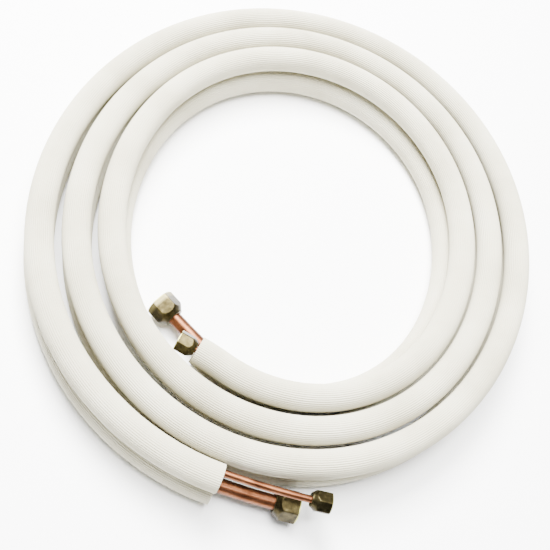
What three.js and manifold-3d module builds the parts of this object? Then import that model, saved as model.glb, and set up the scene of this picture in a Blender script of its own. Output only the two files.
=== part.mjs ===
// Mini split line set: two copper refrigerant lines, each in a white foam sleeve, wound
// together into a flat coil, with a brass flare nut on each of the four tube ends.
// Millimetres, +Z up. The coil lies on the floor, and the origin is the middle of its footprint.
// The small liquid line runs above the large suction line all the way round.

import * as THREE from 'three';
import { mergeVertices } from 'three/addons/utils/BufferGeometryUtils.js';
import Module from 'manifold-3d';

const wasm = await Module();
wasm.setup();

// Coil, seen from above. The run starts at the outer end and winds clockwise inwards.
const outerEndAzimuth = 253.1; // degrees, counterclockwise from +X
const turns = 3.0485;
const outerRadius = 254.95; // of the upper sleeve's centre line at the outer end
const turnPitch = 29;
const ovalness = 10.9; // the coil is this much longer and shorter than round
const ovalDirection = 62.8; // degrees, long axis at the outer end
const ovalDrift = 6.3; // degrees that the long axis turns in each turn
const centreDrift = 1.3; // towards +Y in each turn
const outerTuck = 3.4; // how far the outer end of the upper sleeve lies inwards
const tuckTurns = 0.15;
const innerLean = 6.8; // how far the lower sleeve lies inwards of the upper one
const leanStart = 0.95; // turns from the outer end
const leanEnd = 1.55;
const innerSplay = 3.4; // how far the inner end of the upper sleeve swings outwards
const splayTurns = 0.022;
const splaySteps = 2;
const headingReach = 0.002; // turns to each side over which the direction of the run is taken
const stepsPerTurn = 30;

// Sleeves
const fitClearance = 0.4; // between a tube and its sleeve's bore
const sleeveGap = 0.3; // between the two sleeves
const sleeveSides = 12;
const tubeSides = 8;
const shiftTurns = 0.14; // the stretch of sleeve in which a tube leaves the middle

// Each line: tube, sleeve and its two ends. shift is how far the tube lies from the middle of
// the sleeve's end face: inwards and upwards. exposed is the bare copper behind the nut.
const liquid = {
  name: 'liquid', tubeDiameter: 6.35, tubeWall: 0.8, sleeveWall: 9, upper: true,
  outer: { exposed: 76.5, bend: 6.5, shift: [5.6, 0] },
  inner: { exposed: 1.5, bend: 0, shift: [0.2, -0.8] },
  nut: { acrossFlats: 17, length: 17, rearRadius: 6.2, coneLength: 7.5, neckLength: 6, boreRadius: 4.95,
    flareRadius: 4.5, chamfer: 1.2 },
};
const suction = {
  name: 'suction', tubeDiameter: 12.7, tubeWall: 0.8, sleeveWall: 6.35, upper: false,
  outer: { exposed: 52.2, bend: 5.5, shift: [4.6, 1.7] },
  inner: { exposed: 37, bend: 3, shift: [4.9, 1.7] },
  nut: { acrossFlats: 24, length: 21, rearRadius: 9, coneLength: 9, neckLength: 8, boreRadius: 8.65,
    flareRadius: 8.2, chamfer: 1.6 },
};

// Nuts
const nutClearance = 0.45; // between a nut and the tube or flare inside it
const latheSegments = 24;
const flareOverlap = 2; // the flare's collar round the tube
const collarSwell = 0.05;
const shoulderBulge = 0.6; // how far a nut's rear shoulder stands out of a straight cone
const shoulderShare = 0.45; // of the cone's length, where it stands out most
const chamferSlope = 0.6; // depth of the mouth's chamfer for each unit of its width
const cutMargin = 1; // that a hollow is cut beyond a nut's ends
const weldDistance = 1e-4;

const up = new THREE.Vector3(0, 0, 1);
const radians = THREE.MathUtils.degToRad;
const ramp = THREE.MathUtils.smoothstep; // 0 before the start, 1 after the end, smooth between

const boreRadiusOf = (line) => line.tubeDiameter / 2 + fitClearance;
const sleeveRadiusOf = (line) => boreRadiusOf(line) + line.sleeveWall;
const lowerHeight = sleeveRadiusOf(suction);
const stackHeight = sleeveRadiusOf(suction) + sleeveRadiusOf(liquid) + sleeveGap;

// The middle of a line's sleeve, a number of turns from the outer end
function sleeveCentre(line, turn) {
  const azimuth = radians(outerEndAzimuth - 360 * turn);
  const longAxis = radians(ovalDirection + ovalDrift * turn);
  const oval = ovalness * Math.cos(2 * (azimuth - longAxis));
  const lean = innerLean * ramp(turn, leanStart, leanEnd);
  const tuck = outerTuck * (1 - ramp(turn, 0, tuckTurns));
  const splay = innerSplay * Math.max(0, 1 - (turns - turn) / splayTurns) ** 2;
  const radius = outerRadius - turnPitch * turn + oval - (line.upper ? tuck - splay : lean);
  const height = lowerHeight + (line.upper ? Math.sqrt(stackHeight ** 2 - lean ** 2) : 0);
  return new THREE.Vector3(
    radius * Math.cos(azimuth), radius * Math.sin(azimuth) + centreDrift * turn, height);
}

// The direction of the run there, towards the inner end
function runDirection(line, turn) {
  return sleeveCentre(line, turn + headingReach).sub(sleeveCentre(line, turn - headingReach))
    .setZ(0).normalize();
}

// The middle of a line's tube: it leaves the middle of the sleeve towards each end
function tubeCentre(line, turn) {
  const point = sleeveCentre(line, turn);
  const inwards = runDirection(line, turn).cross(up);
  const share = (turnsFromEnd) => 1 - ramp(turnsFromEnd, 0, shiftTurns);
  for (const [end, amount] of [[line.outer, share(turn)], [line.inner, share(turns - turn)]]) {
    point.addScaledVector(inwards, end.shift[0] * amount).addScaledVector(up, end.shift[1] * amount);
  }
  return point;
}

// From a sleeve's end to the tip of its tube
const bareLength = (line, end) => end.exposed + line.nut.neckLength;

// The bare copper beyond a sleeve's end: a gentle bend that follows the coil
function bareEnd(line, end, distance) {
  const isOuter = end === line.outer;
  const turn = isOuter ? 0 : turns;
  const heading = runDirection(line, turn).multiplyScalar(isOuter ? -1 : 1);
  const inwards = runDirection(line, turn).cross(up);
  const bent = radians(end.bend) * distance / (2 * bareLength(line, end));
  return tubeCentre(line, turn).addScaledVector(heading, distance * Math.cos(bent))
    .addScaledVector(inwards, distance * Math.sin(bent));
}

// A sleeve's path: even steps, and finer ones where the inner end swings outwards
class SleevePath extends THREE.Curve {
  constructor(line) {
    super();
    this.line = line;
    this.evenSteps = Math.round(turns * stepsPerTurn);
    this.steps = this.evenSteps + splaySteps;
  }
  getUtoTmapping(u) {
    return u;
  }
  turnAt(step) {
    const beforeSplay = (turns - splayTurns) * Math.min(step / this.evenSteps, 1);
    return beforeSplay + splayTurns * Math.max(step - this.evenSteps, 0) / splaySteps;
  }
  getPoint(t) {
    return sleeveCentre(this.line, this.turnAt(t * this.steps));
  }
}

// The tube's path has the sleeve's steps, and two more at each end for the bare copper
class TubePath extends SleevePath {
  constructor(line) {
    super(line);
    this.coilSteps = this.steps;
    this.endSteps = 2;
    this.steps = this.coilSteps + 2 * this.endSteps;
  }
  getPoint(t) {
    const { line } = this;
    const step = t * this.steps - this.endSteps;
    const beyond = Math.max(-step, step - this.coilSteps);
    if (beyond <= 0) {
      return tubeCentre(line, this.turnAt(step));
    }
    const end = step < 0 ? line.outer : line.inner;
    return bareEnd(line, end, bareLength(line, end) * beyond / this.endSteps);
  }
}

// A round section swept along a path, hollow where an inner radius is given
function sweep(path, sides, radius, innerRadius = 0) {
  const section = new THREE.Shape().absarc(0, 0, radius, 0, 2 * Math.PI);
  if (innerRadius > 0) {
    section.holes.push(new THREE.Path().absarc(0, 0, innerRadius, 0, 2 * Math.PI, true));
  }
  return new THREE.ExtrudeGeometry(section, {
    steps: path.steps, extrudePath: path, curveSegments: sides / 2, bevelEnabled: false });
}

// A profile of [radius, height] pairs turned round the Z axis
function turned(profile, segments) {
  const points = profile.map(([radius, height]) => new THREE.Vector2(radius, height));
  return new THREE.LatheGeometry(points, segments).rotateX(Math.PI / 2);
}

function toSolid(geometry) {
  const plain = geometry.clone();
  plain.deleteAttribute('normal');
  plain.deleteAttribute('uv');
  const merged = mergeVertices(plain, weldDistance);
  return new wasm.Manifold(new wasm.Mesh({
    numProp: 3,
    vertProperties: new Float32Array(merged.attributes.position.array),
    triVerts: new Uint32Array(merged.index.array),
  }));
}

function toGeometry(solid) {
  const mesh = solid.getMesh();
  const geometry = new THREE.BufferGeometry();
  geometry.setAttribute('position', new THREE.BufferAttribute(new Float32Array(mesh.vertProperties), 3));
  geometry.setIndex(new THREE.BufferAttribute(new Uint32Array(mesh.triVerts), 1));
  geometry.computeVertexNormals();
  return geometry;
}

function makeSleeve(line) {
  const skin = toSolid(sweep(new SleevePath(line), sleeveSides, sleeveRadiusOf(line)));
  const bore = toSolid(sweep(new TubePath(line), tubeSides, boreRadiusOf(line)));
  return toGeometry(skin.subtract(bore));
}

// Where a tube ends inside its nut, and the direction out of its mouth
function tubeEnd(line, end) {
  const length = bareLength(line, end);
  const tip = bareEnd(line, end, length);
  const axis = tip.clone().sub(bareEnd(line, end, length - 1)).normalize();
  return { tip, axis };
}

function placeAt(geometry, { tip, axis }) {
  const turn = new THREE.Quaternion().setFromUnitVectors(up, axis);
  return geometry.applyQuaternion(turn).translate(tip.x, tip.y, tip.z);
}

// The flare that holds the nut, with its collar round the tube; the tube's tip is at height 0
function makeFlare(line) {
  const { flareRadius } = line.nut;
  const tubeRadius = line.tubeDiameter / 2;
  const rise = flareRadius - tubeRadius;
  const outer = tubeRadius + collarSwell;
  // inside the flats of the tube's bore
  const inner = (tubeRadius - line.tubeWall) * Math.cos(Math.PI / tubeSides) - collarSwell;
  return turned([
    [inner, -flareOverlap], [outer, -flareOverlap], [outer, 0], [flareRadius, rise],
    [flareRadius - line.tubeWall, rise], [inner, 0], [inner, -flareOverlap],
  ], latheSegments);
}

function makeTube(line) {
  const radius = line.tubeDiameter / 2;
  let solid = toSolid(sweep(new TubePath(line), tubeSides, radius, radius - line.tubeWall));
  for (const end of [line.outer, line.inner]) {
    solid = solid.add(toSolid(placeAt(makeFlare(line), tubeEnd(line, end))));
  }
  return toGeometry(solid);
}

// A hexagonal flare nut on the Z axis. Its neck ends at height 0, where the tube's flare starts.
function makeNut(line) {
  const { acrossFlats, length, rearRadius, coneLength, neckLength, boreRadius, chamfer } = line.nut;
  const corner = acrossFlats / 2 / Math.cos(Math.PI / 6);
  const rear = -neckLength;
  const mouth = length - neckLength;
  const hole = line.tubeDiameter / 2 + nutClearance;
  const hexagon = new THREE.CylinderGeometry(corner, corner, length, 6)
    .rotateX(Math.PI / 2).translate(0, 0, (rear + mouth) / 2);
  const widest = corner + 0.1; // just outside the hexagon's corners
  const envelope = turned([
    [0, rear], [rearRadius, rear],
    [(rearRadius + corner) / 2 + shoulderBulge, rear + coneLength * shoulderShare],
    [widest, rear + coneLength], [widest, mouth - chamfer * chamferSlope],
    [corner - chamfer, mouth], [0, mouth],
  ], latheSegments);
  const hollow = turned([
    [0, rear - cutMargin], [hole, rear - cutMargin], [hole, 0], [boreRadius, boreRadius - hole],
    [boreRadius, mouth + cutMargin], [0, mouth + cutMargin],
  ], latheSegments);
  return toGeometry(toSolid(hexagon).intersect(toSolid(envelope)).subtract(toSolid(hollow)));
}

const foamLook = { color: 0xf0eee8, roughness: 0.85, metalness: 0 };
const copperLook = { color: 0xb87048, roughness: 0.35, metalness: 1 };
const brassLook = { color: 0x9a8558, roughness: 0.4, metalness: 1 };

function addMesh(parent, name, geometry, look) {
  const mesh = new THREE.Mesh(geometry, new THREE.MeshStandardMaterial(look));
  mesh.name = name;
  parent.add(mesh);
  return mesh;
}

const coil = new THREE.Group();
for (const line of [liquid, suction]) {
  addMesh(coil, `${line.name}_line_insulation`, makeSleeve(line), foamLook);
  addMesh(coil, `${line.name}_line_tube`, makeTube(line), copperLook);
  for (const end of ['outer', 'inner']) {
    const nut = addMesh(coil, `${line.name}_flare_nut_${end}`, makeNut(line), brassLook);
    const { tip, axis } = tubeEnd(line, line[end]);
    nut.position.copy(tip);
    nut.quaternion.setFromUnitVectors(up, axis);
  }
}

// The origin goes to the middle of the footprint, on the floor
const footprint = new THREE.Box3().setFromObject(coil, true);
const middle = footprint.getCenter(new THREE.Vector3());
coil.position.set(-middle.x, -middle.y, -footprint.min.z);

const part = new THREE.Group();
part.add(coil);

export default part;
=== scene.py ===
import math

import bpy
from mathutils import Matrix, Vector


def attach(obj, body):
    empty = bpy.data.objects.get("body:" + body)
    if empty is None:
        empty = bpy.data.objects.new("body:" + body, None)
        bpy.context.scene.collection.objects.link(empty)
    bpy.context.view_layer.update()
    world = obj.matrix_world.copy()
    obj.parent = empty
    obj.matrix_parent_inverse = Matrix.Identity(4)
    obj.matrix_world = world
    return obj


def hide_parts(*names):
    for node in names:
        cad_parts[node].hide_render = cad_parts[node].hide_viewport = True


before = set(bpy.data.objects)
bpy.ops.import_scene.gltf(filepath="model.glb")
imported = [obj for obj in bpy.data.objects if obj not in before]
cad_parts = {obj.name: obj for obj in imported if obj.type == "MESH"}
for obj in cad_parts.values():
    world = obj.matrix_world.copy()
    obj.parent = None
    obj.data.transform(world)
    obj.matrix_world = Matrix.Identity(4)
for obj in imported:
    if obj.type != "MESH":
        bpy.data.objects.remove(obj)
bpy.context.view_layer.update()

# Mini split line set: two copper lines in white foam sleeves, wound into a flat coil,
# with a brass flare nut on each tube end. +Z up, the coil lying on the floor. The coil's
# lengths are in millimetres, and make_object turns them into the scene's metres. The stage,
# the lights and the camera are in metres.

MM = 0.001
UP = Vector((0, 0, 1))

# The coil, as in the part's source. The run starts at the outer end and winds clockwise inwards.
COIL_AXIS = Vector((7.658, 8.102, 0)) * MM  # in the part's frame
OUTER_END_AZIMUTH = 253.1
TURNS = 3.0485
OUTER_RADIUS = 254.95
TURN_PITCH = 29
OVALNESS = 10.9
OVAL_DIRECTION = 62.8
OVAL_DRIFT = 6.3
CENTRE_DRIFT = 1.3
OUTER_TUCK = 3.4
TUCK_TURNS = 0.15
INNER_LEAN = 6.8
LEAN_START = 0.95
LEAN_END = 1.55
INNER_SPLAY = 3.4
SPLAY_TURNS = 0.022
SHIFT_TURNS = 0.14
HEADING_REACH = 0.002  # turns to each side, for a run's direction

FIT_CLEARANCE = 0.4
SLEEVE_GAP = 0.3

# Exposed is bare tube before the nut. Bend, in degrees, is inwards. Shift moves the tube inwards
# and up in its sleeve. Nut_turn is how far the hexagon is turned, in degrees.
LINES = {
    "liquid": dict(
        tube=6.35, tube_wall=0.8, sleeve_wall=9, upper=True,
        outer=dict(exposed=76.5, bend=6.5, shift=(5.6, 0), nut_turn=10),
        inner=dict(exposed=1.5, bend=0, shift=(0.2, -0.8), nut_turn=24),
        nut=dict(flats=17, length=17, rear=6.2, cone=7.5, neck=6, bore=4.95, flare=4.5,
                 chamfer=1.2, thread_pitch=1.27),
    ),
    "suction": dict(
        tube=12.7, tube_wall=0.8, sleeve_wall=6.35, upper=False,
        outer=dict(exposed=52.2, bend=5.5, shift=(4.6, 1.7), nut_turn=34),
        inner=dict(exposed=37, bend=3, shift=(4.9, 1.7), nut_turn=16),
        nut=dict(flats=24, length=21, rear=9, cone=9, neck=8, bore=8.65, flare=8.2,
                 chamfer=1.6, thread_pitch=1.5875),
    ),
}
NUT_CLEARANCE = 0.45

# How finely the visible surfaces are made
STEPS_PER_TURN = 116
SPLAY_STEPS = 6
RIBS = 40
POINTS_PER_RIB = 4
BORE_POINTS = 40
TUBE_POINTS = 32
NUT_POINTS = 144

TUBE_END_STEPS = 12
RIB_DEPTH = 0.5
SLEEVE_DRAW_IN = 0.1  # the sleeves are drawn this much smaller, to keep off each other

# Edges sharper than these angles stay sharp
SLEEVE_SHARP_ANGLE = 50
TUBE_SHARP_ANGLE = 40
NUT_SHARP_ANGLE = 20

# The nuts' small features
NUT_CORNER_ROUNDING = 0.25
REAR_EDGE = 0.5  # rounding round the rear face
REAR_EDGE_STEP = 0.15
HOLE_CHAMFER = 0.3
SHOULDER_STEPS = 14
SHOULDER_POWER = 1.2  # a higher power makes a slimmer shoulder
SIDE_STEPS = 4
CHAMFER_SLOPE = 0.6
CHAMFER_STEPS = 10
THREAD_DEPTH = 0.6  # as a share of its pitch
THREAD_LEAD_IN = 0.35
THREAD_FADE_TURNS = 1.5
THREAD_TO_SEAT = 1.0
STEPS_PER_PITCH = 8

# Colours. Each shade has its place in the noise that spreads it.
FOAM_SHADES = (
    (0.3, (0.38, 0.355, 0.26)),
    (0.55, (0.45, 0.425, 0.32)),
    (0.8, (0.49, 0.47, 0.375)),
)
COPPER_SHADES = (
    (0.35, (0.075, 0.027, 0.012)),
    (0.5, (0.125, 0.048, 0.022)),
    (0.7, (0.185, 0.075, 0.036)),
)
BRASS_SHADES = (
    (0.35, (0.022, 0.017, 0.007)),
    (0.5, (0.045, 0.036, 0.015)),
    (0.7, (0.09, 0.073, 0.032)),
)
RUBBED_BRASS = (0.2, 0.17, 0.08)
MACHINED_BRASS = (0.34, 0.33, 0.11)
# The outer nuts' brass is toned darker than the inner nuts': painted shade for their place on the
# shaded near side of the coil.
OUTER_BRASS_TONE = 0.52
INNER_BRASS_TONE = 0.75
FLOOR_COLOUR = (0.96, 0.96, 0.96)

# The stage
FLOOR_REACH = 6
FLOOR_HEIGHT = -0.0003
WORLD_STRENGTH = 0.5
LIGHTS = {
    "key": dict(place=(-0.4, 1.05, 1.6), size=0.9, power=330),
    "top": dict(place=(0, 0.2, 2.2), size=1.2, power=230),
}


def smooth(value, start, end):
    """0 before start, 1 after end, smooth between."""
    x = min(max((value - start) / (end - start), 0), 1)
    return x * x * (3 - 2 * x)


def bore_radius(line):
    return line["tube"] / 2 + FIT_CLEARANCE


def sleeve_radius(line):
    return bore_radius(line) + line["sleeve_wall"]


LOWER_HEIGHT = sleeve_radius(LINES["suction"])
STACK_HEIGHT = sleeve_radius(LINES["suction"]) + sleeve_radius(LINES["liquid"]) + SLEEVE_GAP


def sleeve_centre(line, turn):
    azimuth = math.radians(OUTER_END_AZIMUTH - 360 * turn)
    long_axis = math.radians(OVAL_DIRECTION + OVAL_DRIFT * turn)
    oval = OVALNESS * math.cos(2 * (azimuth - long_axis))
    lean = INNER_LEAN * smooth(turn, LEAN_START, LEAN_END)
    tuck = OUTER_TUCK * (1 - smooth(turn, 0, TUCK_TURNS))
    splay = INNER_SPLAY * max(0, 1 - (TURNS - turn) / SPLAY_TURNS) ** 2
    radius = OUTER_RADIUS - TURN_PITCH * turn + oval - (tuck - splay if line["upper"] else lean)
    height = LOWER_HEIGHT + (math.sqrt(STACK_HEIGHT ** 2 - lean ** 2) if line["upper"] else 0)
    x = radius * math.cos(azimuth)
    y = radius * math.sin(azimuth) + CENTRE_DRIFT * turn
    return Vector((x, y, height))


def run_direction(line, turn):
    ahead = sleeve_centre(line, turn + HEADING_REACH)
    step = ahead - sleeve_centre(line, turn - HEADING_REACH)
    step.z = 0
    return step.normalized()


def tube_centre(line, turn):
    point = sleeve_centre(line, turn)
    inwards = run_direction(line, turn).cross(UP)
    for end, from_end in ((line["outer"], turn), (line["inner"], TURNS - turn)):
        share = 1 - smooth(from_end, 0, SHIFT_TURNS)
        point += inwards * end["shift"][0] * share + UP * end["shift"][1] * share
    return point


def bare_length(line, end):
    return line[end]["exposed"] + line["nut"]["neck"]


def bare_end(line, end, distance):
    turn = 0 if end == "outer" else TURNS
    heading = run_direction(line, turn) * (-1 if end == "outer" else 1)
    inwards = run_direction(line, turn).cross(UP)
    bent = math.radians(line[end]["bend"]) * distance / (2 * bare_length(line, end))
    along = heading * distance * math.cos(bent)
    across = inwards * distance * math.sin(bent)
    return tube_centre(line, turn) + along + across


def tube_end(line, end):
    """Where a tube's flare starts inside its nut, and the direction out of the mouth."""
    length = bare_length(line, end)
    tip = bare_end(line, end, length)
    return tip, (tip - bare_end(line, end, length - 1)).normalized()


def turns_along():
    """The turns at which a sweep is cut: even steps, and finer ones at the inner end."""
    even = round(TURNS * STEPS_PER_TURN)
    start = TURNS - SPLAY_TURNS
    return [start * i / even for i in range(even)] + [
        start + SPLAY_TURNS * i / SPLAY_STEPS for i in range(SPLAY_STEPS + 1)]


def ring(centre, forward, radii):
    """Points round a centre, across the forward direction. Angle 0 is up."""
    side = forward.cross(UP).normalized()
    top = side.cross(forward)
    count = len(radii)
    points = []
    for i, radius in enumerate(radii):
        angle = 2 * math.pi * i / count
        points.append(centre + top * radius * math.cos(angle) + side * radius * math.sin(angle))
    return points


def directions(centres):
    """The direction of a path at each of its points."""
    result = []
    for i in range(len(centres)):
        ahead = centres[min(i + 1, len(centres) - 1)]
        behind = centres[max(i - 1, 0)]
        result.append((ahead - behind).normalized())
    return result


def bridge(faces, first, second, count, flip=False):
    """Quads between two rings of the same count, given by the index of their first point."""
    for i in range(count):
        j = (i + 1) % count
        quad = (first + i, first + j, second + j, second + i)
        faces.append(quad[::-1] if flip else quad)


def make_object(name, points, faces, material, smooth_angle=None):
    mesh = bpy.data.meshes.new(name)
    mesh.from_pydata([(p + COIL_AXIS / MM) * MM for p in points], [], faces)
    mesh.validate()
    mesh.polygons.foreach_set("use_smooth", [True] * len(mesh.polygons))
    if smooth_angle is not None:
        mesh.set_sharp_from_angle(angle=math.radians(smooth_angle))
    mesh.materials.append(material)
    piece = bpy.data.objects.new(name, mesh)
    bpy.context.collection.objects.link(piece)
    return piece


# Materials


def new_material(name):
    material = bpy.data.materials.new(name)
    material.use_nodes = True
    nodes = material.node_tree.nodes
    shader = nodes["Principled BSDF"]
    return material, nodes, material.node_tree.links, shader


def noise_node(nodes, links, coordinates, scale, detail, roughness=0.5):
    node = nodes.new("ShaderNodeTexNoise")
    node.inputs["Scale"].default_value = scale
    node.inputs["Detail"].default_value = detail
    node.inputs["Roughness"].default_value = roughness
    links.new(coordinates, node.inputs["Vector"])
    return node


def ramp_node(nodes, links, factor, stops):
    node = nodes.new("ShaderNodeValToRGB")
    elements = node.color_ramp.elements
    while len(elements) < len(stops):
        elements.new(0.5)
    for element, (position, colour) in zip(elements, stops):
        element.position = position
        element.color = (*colour, 1)
    links.new(factor, node.inputs["Fac"])
    return node


def bump_node(nodes, links, height, distance, strength, normal=None):
    node = nodes.new("ShaderNodeBump")
    node.inputs["Distance"].default_value = distance
    node.inputs["Strength"].default_value = strength
    links.new(height, node.inputs["Height"])
    if normal is not None:
        links.new(normal, node.inputs["Normal"])
    return node


def foam_material():
    material, nodes, links, shader = new_material("white_foam")
    place = nodes.new("ShaderNodeTexCoord").outputs["Object"]
    blotches = noise_node(nodes, links, place, 18, 4)
    colour = ramp_node(nodes, links, blotches.outputs["Fac"], FOAM_SHADES)
    links.new(colour.outputs["Color"], shader.inputs["Base Color"])
    cells = noise_node(nodes, links, place, 900, 2)
    dents = noise_node(nodes, links, place, 60, 2)
    fine = bump_node(nodes, links, cells.outputs["Fac"], 0.00025, 0.35)
    broad = bump_node(nodes, links, dents.outputs["Fac"], 0.0006, 0.3, fine.outputs["Normal"])
    links.new(broad.outputs["Normal"], shader.inputs["Normal"])
    shader.inputs["Roughness"].default_value = 0.62
    shader.inputs["Specular IOR Level"].default_value = 0.3
    shader.inputs["Subsurface Weight"].default_value = 0.2
    shader.inputs["Subsurface Radius"].default_value = (0.006, 0.0055, 0.0045)
    shader.inputs["Subsurface Scale"].default_value = 1.0
    return material


def copper_material():
    material, nodes, links, shader = new_material("copper")
    place = nodes.new("ShaderNodeTexCoord").outputs["Object"]
    stains = noise_node(nodes, links, place, 70, 5, 0.6)
    colour = ramp_node(nodes, links, stains.outputs["Fac"], COPPER_SHADES)
    links.new(colour.outputs["Color"], shader.inputs["Base Color"])
    rough = nodes.new("ShaderNodeMapRange")
    rough.inputs["To Min"].default_value = 0.3
    rough.inputs["To Max"].default_value = 0.46
    links.new(stains.outputs["Fac"], rough.inputs["Value"])
    links.new(rough.outputs["Result"], shader.inputs["Roughness"])
    scratches = noise_node(nodes, links, place, 420, 3)
    bump = bump_node(nodes, links, scratches.outputs["Fac"], 0.0001, 0.25)
    links.new(bump.outputs["Normal"], shader.inputs["Normal"])
    shader.inputs["Metallic"].default_value = 1.0
    return material


def mix_colours(nodes, links, factor, first, second):
    """A mix of a linked colour and a plain one."""
    mix = nodes.new("ShaderNodeMix")
    mix.data_type = "RGBA"
    colours = [socket for socket in mix.inputs if socket.type == "RGBA"]
    links.new(factor, mix.inputs[0])
    links.new(first, colours[0])
    colours[1].default_value = (*second, 1)
    return next(socket for socket in mix.outputs if socket.type == "RGBA")


def toned(colour, tone):
    return tuple(tone * part for part in colour)


def brass_material(name, tone):
    """Forged brass. A tone below 1 is darker."""
    material, nodes, links, shader = new_material(name)
    place = nodes.new("ShaderNodeTexCoord").outputs["Object"]
    stains = noise_node(nodes, links, place, 160, 5, 0.65)
    shades = [(position, toned(shade, tone)) for position, shade in BRASS_SHADES]
    colour = ramp_node(nodes, links, stains.outputs["Fac"], shades)
    edges = nodes.new("ShaderNodeNewGeometry")
    worn = nodes.new("ShaderNodeMapRange")
    worn.inputs["From Min"].default_value = 0.52
    worn.inputs["From Max"].default_value = 0.62
    links.new(edges.outputs["Pointiness"], worn.inputs["Value"])
    rub = toned(RUBBED_BRASS, tone)
    rubbed = mix_colours(nodes, links, worn.outputs["Result"], colour.outputs["Color"], rub)
    mask = nodes.new("ShaderNodeAttribute")
    mask.attribute_name = "machined"
    turned = mix_colours(nodes, links, mask.outputs["Fac"], rubbed, MACHINED_BRASS)
    links.new(turned, shader.inputs["Base Color"])
    forging = noise_node(nodes, links, place, 700, 3)
    bump = bump_node(nodes, links, forging.outputs["Fac"], 0.00015, 0.4)
    links.new(bump.outputs["Normal"], shader.inputs["Normal"])
    shader.inputs["Metallic"].default_value = 1.0
    shader.inputs["Roughness"].default_value = 0.38
    return material


def floor_material():
    material, _, _, shader = new_material("floor")
    shader.inputs["Base Color"].default_value = (*FLOOR_COLOUR, 1)
    shader.inputs["Roughness"].default_value = 0.9
    return material


# Camera: above the coil's near left, turned so that +Y points up in the picture

CAMERA_PLACE = Vector((-0.20045, -0.381, 0.6862))
CAMERA_AIM = Vector((-0.01909, -0.04646, 0.025))
CAMERA_LENS = 53.1


def make_camera():
    data = bpy.data.cameras.new("camera")
    data.lens = CAMERA_LENS
    data.sensor_width = 36
    data.clip_start = 0.01
    camera = bpy.data.objects.new("camera", data)
    forward = (CAMERA_AIM - CAMERA_PLACE).normalized()
    right = forward.cross(Vector((0, 1, 0))).normalized()
    upward = right.cross(forward)
    turn = Matrix((right, upward, -forward)).transposed()
    camera.matrix_world = Matrix.Translation(CAMERA_PLACE) @ turn.to_4x4()
    bpy.context.collection.objects.link(camera)
    bpy.context.scene.camera = camera


# Pieces


def make_sleeve(name, line, material):
    count = RIBS * POINTS_PER_RIB
    turns_at = turns_along()
    steps = len(turns_at) - 1
    centres = [sleeve_centre(line, t) for t in turns_at]
    ways = directions(centres)
    outside = sleeve_radius(line) - SLEEVE_DRAW_IN
    depths = [RIB_DEPTH * (1 - abs(math.sin(math.pi * i / POINTS_PER_RIB))) for i in range(count)]
    radii = [outside - depth for depth in depths]
    points, faces = [], []
    for centre, way in zip(centres, ways):
        points += ring(centre, way, radii)
    for s in range(steps):
        bridge(faces, s * count, (s + 1) * count, count)
    bore_start = len(points)
    for t, way in zip(turns_at, ways):
        points += ring(tube_centre(line, t), way, [bore_radius(line)] * BORE_POINTS)
    for s in range(steps):
        first = bore_start + s * BORE_POINTS
        bridge(faces, first, first + BORE_POINTS, BORE_POINTS, flip=True)
    share = count // BORE_POINTS  # skin points to each bore point, in an end face
    last_bore = bore_start + steps * BORE_POINTS
    for skin_first, bore_first, flip in ((0, bore_start, True), (steps * count, last_bore, False)):
        for j in range(BORE_POINTS):
            k = (j + 1) % BORE_POINTS
            rim = [skin_first + (j * share + i) % count for i in range(share + 1)]
            face = rim + [bore_first + k, bore_first + j]
            faces.append(tuple(face[::-1] if flip else face))
    return make_object(name, points, faces, material, SLEEVE_SHARP_ANGLE)


def make_tube(name, line, material):
    outside = line["tube"] / 2
    inside = outside - line["tube_wall"]
    flare = line["nut"]["flare"]
    rise = flare - outside
    stations = []
    for i in range(TUBE_END_STEPS, 0, -1):
        distance = bare_length(line, "outer") * i / TUBE_END_STEPS
        stations.append((bare_end(line, "outer", distance), outside, inside))
    for turn in turns_along():
        stations.append((tube_centre(line, turn), outside, inside))
    for i in range(1, TUBE_END_STEPS + 1):
        distance = bare_length(line, "inner") * i / TUBE_END_STEPS
        stations.append((bare_end(line, "inner", distance), outside, inside))
    for end, place in (("outer", 0), ("inner", len(stations) + 1)):
        tip, axis = tube_end(line, end)
        stations.insert(place, (tip + axis * rise, flare, flare - line["tube_wall"]))
    ways = directions([s[0] for s in stations])
    points, faces = [], []
    for pick in (1, 2):
        for station, way in zip(stations, ways):
            points += ring(station[0], way, [station[pick]] * TUBE_POINTS)
    last = len(stations) - 1
    inner_first = len(stations) * TUBE_POINTS
    for s in range(last):
        first = s * TUBE_POINTS
        bridge(faces, first, first + TUBE_POINTS, TUBE_POINTS)
        first += inner_first
        bridge(faces, first, first + TUBE_POINTS, TUBE_POINTS, flip=True)
    bridge(faces, 0, inner_first, TUBE_POINTS, flip=True)
    bridge(faces, last * TUBE_POINTS, inner_first + last * TUBE_POINTS, TUBE_POINTS)
    return make_object(name, points, faces, material, TUBE_SHARP_ANGLE)


def hex_radius(angle, flats):
    """Distance from the axis to a hexagon's side, with a corner at angle 0."""
    from_corner = (angle + math.pi / 6) % (math.pi / 3) - math.pi / 6
    from_flat = math.pi / 6 - abs(from_corner)
    corner = flats / 2 / math.cos(math.pi / 6)
    return min(flats / 2 / math.cos(from_flat), corner - NUT_CORNER_ROUNDING)


def thread_rings(nut, angles, thread_start, seat):
    """Rings of a thread from just inside the mouth to near the seat, where it fades out."""
    pitch = nut["thread_pitch"]
    count = int((thread_start - seat - THREAD_TO_SEAT) / pitch * STEPS_PER_PITCH)
    rings = []
    for i in range(count + 1):
        height = thread_start - i * pitch / STEPS_PER_PITCH
        fade = min(1, (count - i) / (THREAD_FADE_TURNS * STEPS_PER_PITCH))
        radii = []
        for a in angles:
            phase = (height / pitch - a / (2 * math.pi)) % 1
            radii.append(nut["bore"] + fade * THREAD_DEPTH * pitch * (1 - abs(2 * phase - 1)))
        rings.append((radii, height))
    return rings


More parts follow.
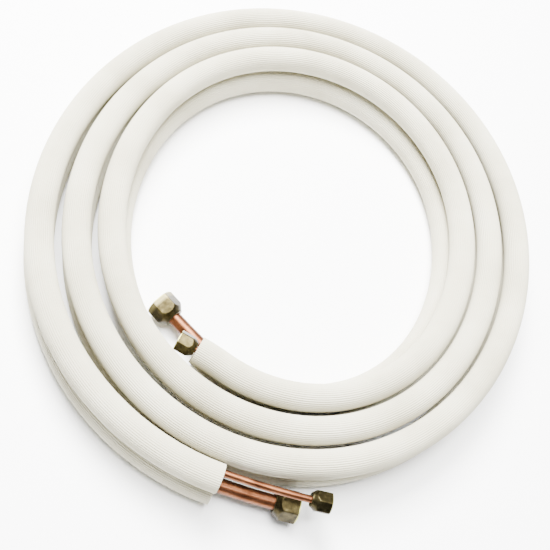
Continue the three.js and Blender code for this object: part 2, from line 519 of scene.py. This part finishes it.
def nut_rings(line, nut_turn, angles):
    """A nut's rings as (radii, height), round the outside and back through the hole.

    Also the index of the first ring that is machined bright.
    """
    nut = line["nut"]
    corner = nut["flats"] / 2 / math.cos(math.pi / 6)
    rear, mouth = -nut["neck"], nut["length"] - nut["neck"]
    hole = line["tube"] / 2 + NUT_CLEARANCE
    hexagon = [hex_radius(a - nut_turn, nut["flats"]) for a in angles]
    rings = []

    def plain(radius, height):
        rings.append(([radius] * NUT_POINTS, height))

    def outline(limit, height):
        rings.append(([min(h, limit) for h in hexagon], height))

    plain(hole + HOLE_CHAMFER, rear)
    plain(nut["rear"] - REAR_EDGE, rear)
    plain(nut["rear"] - REAR_EDGE_STEP, rear + REAR_EDGE_STEP)
    plain(nut["rear"], rear + REAR_EDGE)
    for i in range(1, SHOULDER_STEPS + 1):
        x = i / SHOULDER_STEPS
        swell = math.sin(x * math.pi / 2) ** SHOULDER_POWER
        limit = nut["rear"] + (corner - nut["rear"]) * swell
        outline(limit, rear + REAR_EDGE + (nut["cone"] - REAR_EDGE) * x)
    side_start = rear + nut["cone"]
    side_end = mouth - nut["chamfer"] * CHAMFER_SLOPE
    for i in range(1, SIDE_STEPS + 1):
        outline(corner, side_start + (side_end - side_start) * i / SIDE_STEPS)
    for i in range(1, CHAMFER_STEPS + 1):
        x = i / CHAMFER_STEPS
        outline(corner - nut["chamfer"] * x, side_end + (mouth - side_end) * x)
    machined_from = len(rings) - CHAMFER_STEPS + 1
    root = nut["bore"] + THREAD_DEPTH * nut["thread_pitch"]
    thread_start = mouth - THREAD_LEAD_IN
    plain(root + THREAD_LEAD_IN, mouth)
    plain(root, thread_start)
    seat = nut["bore"] - hole
    rings += thread_rings(nut, angles, thread_start, seat)
    plain(nut["bore"], seat)
    plain(hole, 0)
    plain(hole, rear + HOLE_CHAMFER)
    return rings, machined_from


def make_nut(name, line, end, material):
    angles = [2 * math.pi * i / NUT_POINTS for i in range(NUT_POINTS)]
    rings, machined_from = nut_rings(line, math.radians(line[end]["nut_turn"]), angles)
    tip, axis = tube_end(line, end)
    side = axis.cross(UP).normalized()
    top_way = side.cross(axis)
    points, faces = [], []
    for radii, height in rings:
        for a, radius in zip(angles, radii):
            outwards = top_way * math.cos(a) + side * math.sin(a)
            points.append(tip + axis * height + outwards * radius)
    for r in range(len(rings)):
        after = (r + 1) % len(rings)
        bridge(faces, r * NUT_POINTS, after * NUT_POINTS, NUT_POINTS)
    piece = make_object(name, points, faces, material, NUT_SHARP_ANGLE)
    mask = piece.data.attributes.new("machined", "FLOAT", "POINT")
    forged_count = machined_from * NUT_POINTS
    machined_count = len(points) - forged_count
    mask.data.foreach_set("value", [0.0] * forged_count + [1.0] * machined_count)
    return piece


def make_floor(material):
    points = []
    for x, y in ((-1, -1), (1, -1), (1, 1), (-1, 1)):
        corner = Vector((x * FLOOR_REACH, y * FLOOR_REACH, FLOOR_HEIGHT))
        points.append(corner / MM - COIL_AXIS / MM)
    floor = make_object("floor", points, [(0, 1, 2, 3)], material)


def make_light(name, place, size, power):
    """A square area light, aimed at the origin."""
    data = bpy.data.lights.new(name, "AREA")
    data.shape = "SQUARE"
    data.size = size
    data.energy = power
    light = bpy.data.objects.new(name, data)
    light.location = place
    light.rotation_mode = "QUATERNION"
    light.rotation_quaternion = (-Vector(place)).to_track_quat("-Z", "Y")
    bpy.context.collection.objects.link(light)


def make_lights():
    world = bpy.data.worlds.new("studio")
    world.use_nodes = True
    background = world.node_tree.nodes["Background"]
    background.inputs["Color"].default_value = (1, 1, 1, 1)
    background.inputs["Strength"].default_value = WORLD_STRENGTH
    bpy.context.scene.world = world
    for name, light in LIGHTS.items():
        make_light(name, light["place"], light["size"], light["power"])


make_camera()
foam = foam_material()
copper = copper_material()
brass = {
    # The outer nuts take a darker copy of the brass: painted shade.
    "outer": brass_material("painted_shade_brass", OUTER_BRASS_TONE),
    "inner": brass_material("brass", INNER_BRASS_TONE),
}

for line_name, line in LINES.items():
    sleeve = make_sleeve(f"{line_name}_sleeve", line, foam)
    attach(sleeve, "coil")
    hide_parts(f"{line_name}_line_insulation")
    tube = make_tube(f"{line_name}_tube", line, copper)
    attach(tube, "coil")
    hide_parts(f"{line_name}_line_tube")
    for end in ("outer", "inner"):
        nut = make_nut(f"{line_name}_nut_{end}_detail", line, end, brass[end])
        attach(nut, f"{line_name}_nut_{end}")
        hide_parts(f"{line_name}_flare_nut_{end}")

make_floor(floor_material())
make_lights()
